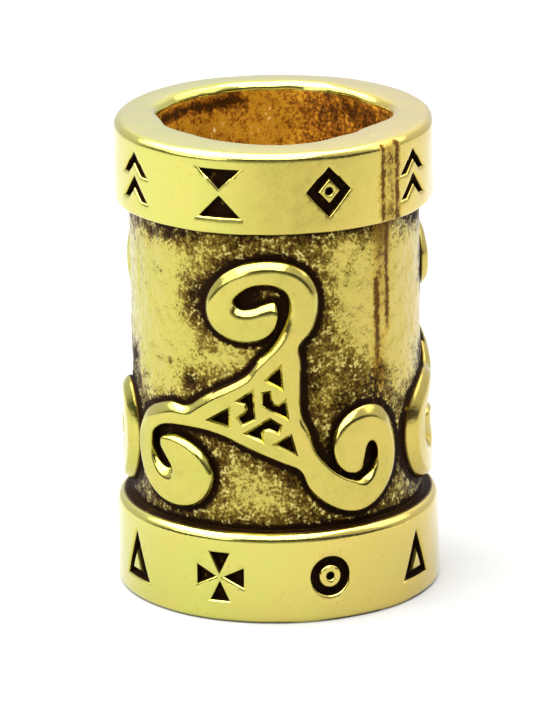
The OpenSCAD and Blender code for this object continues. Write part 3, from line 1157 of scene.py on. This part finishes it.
# painted shade inside the bore
for line in boreShadeBands:
    addPatinaAndShade(upperCollar, lambda co: boreShadeLevel(line, co))
    addPatinaAndShade(sleeveObject, lambda co: boreShadeLevel(line, co))
addPatinaAndShade(upperCollar, tarnishLevel)
print("patina laid")

finishPiece(sleeveObject, groundGold)
for obj in triskeles + collarObjects:
    finishPiece(obj, polishedGold)


# Floor, light and camera, in metres and degrees
studio = {
    "floorSize": 1.2,
    "floorColor": (0.36, 0.36, 0.36, 1),
    "floorRoughness": 0.8,
    # from the front horizon over the top to the back, place and brightness
    "sky": ((0, 0.6), (0.156, 0.5), (0.226, 0.1), (0.428, 0.08), (0.544, 0.85), (0.85, 0.96), (0.91, 1.2),
            (0.97, 1.45)),
    "skyLean": 0.65,
    "skyRange": (-0.7, 1.1, 0, 1),
}
# watts, size, place and target
lights = {
    "overhead": (7.9, (0.7, 0.6), (-0.14, -0.12, 0.4), (-0.14, -0.12, 0)),
    "leftSide": (0.05, (0.06, 0.1), (-0.07, 0.01, 0.07), (-0.06, 0.01, 0)),
    "frontLeft": (0.038, (0.1, 0.042), (-0.087, -0.068, 0.06), (0, 0, 0.009)),
    "rightSide": (0.03, (0.06, 0.1), (0.07, 0.02, 0.07), (0.06, 0.02, 0)),
}
photoCamera = {
    "distance": 0.26, "azimuth": 5.6, "elevation": 16.878, "roll": 0.805,
    "lens": 348.4, "sensor": 36, "nearest": 0.01,
    # the photograph's height, and how far its middle lies left of and below the bead's, in pixels
    "photoHeight": 710, "pixelsLeft": 9.85, "pixelsBelow": 11.06,
}


def makeFloor():
    deselectAll()
    bpy.ops.mesh.primitive_plane_add(size=studio["floorSize"], location=(0, 0, 0))
    floor = bpy.context.object
    floor.name = "floor"
    material = bpy.data.materials.new("paleFloor")
    material.use_nodes = True
    shader = material.node_tree.nodes["Principled BSDF"]
    shader.inputs["Base Color"].default_value = studio["floorColor"]
    shader.inputs["Roughness"].default_value = studio["floorRoughness"]
    floor.data.materials.append(material)


def makeWorld():
    # bright overhead and behind, with a dim band above the front horizon that draws the edges
    world = bpy.data.worlds.new("studio")
    bpy.context.scene.world = world
    world.use_nodes = True
    tree = world.node_tree
    place = addNode(tree, "ShaderNodeTexCoord").outputs["Generated"]
    split = addNode(tree, "ShaderNodeSeparateXYZ")
    tree.links.new(place, split.inputs[0])
    level = addTimes(tree, split.outputs["Y"], studio["skyLean"], split.outputs["Z"])
    level = addRange(tree, level, *studio["skyRange"])
    stops = [(position, (brightness, brightness, brightness, 1)) for position, brightness in studio["sky"]]
    tree.links.new(addRamp(tree, level, stops), tree.nodes["Background"].inputs["Color"])


def addAreaLight(name, power, size, place, target):
    data = bpy.data.lights.new(name, "AREA")
    data.energy = power
    data.shape = "RECTANGLE"
    data.size, data.size_y = size
    light = bpy.data.objects.new(name, data)
    bpy.context.scene.collection.objects.link(light)
    light.location = place
    light.rotation_euler = (Vector(target) - Vector(place)).to_track_quat("-Z", "Y").to_euler()


def makeCamera():
    middle = Vector((0, 0, beadHeight / 2 * millimetre))
    azimuth, elevation = math.radians(photoCamera["azimuth"]), math.radians(photoCamera["elevation"])
    flat = math.cos(elevation)
    back = Vector((math.sin(azimuth) * flat, -math.cos(azimuth) * flat, math.sin(elevation)))
    data = bpy.data.cameras.new("photoCamera")
    data.lens = photoCamera["lens"]
    data.sensor_width = photoCamera["sensor"]
    data.clip_start = photoCamera["nearest"]
    camera = bpy.data.objects.new("photoCamera", data)
    bpy.context.scene.collection.objects.link(camera)
    camera.location = middle + back * photoCamera["distance"]
    right = Vector((math.cos(azimuth), math.sin(azimuth), 0))
    up = right.cross(back) * -1
    # the size of the photograph's pixel at the bead
    pixel = photoCamera["lens"] / photoCamera["sensor"] * photoCamera["photoHeight"]
    pixel = photoCamera["distance"] / pixel
    target = middle - right * photoCamera["pixelsLeft"] * pixel - up * photoCamera["pixelsBelow"] * pixel
    turn = (target - camera.location).to_track_quat("-Z", "Y").to_matrix().to_4x4()
    turn = turn @ Matrix.Rotation(math.radians(-photoCamera["roll"]), 4, "Z")
    camera.rotation_euler = turn.to_euler()
    bpy.context.scene.camera = camera


makeFloor()
makeWorld()
for name, settings in lights.items():
    addAreaLight(name, *settings)
makeCamera()
bpy.context.scene.view_settings.view_transform = "Standard"
print("floor, light and camera placed")
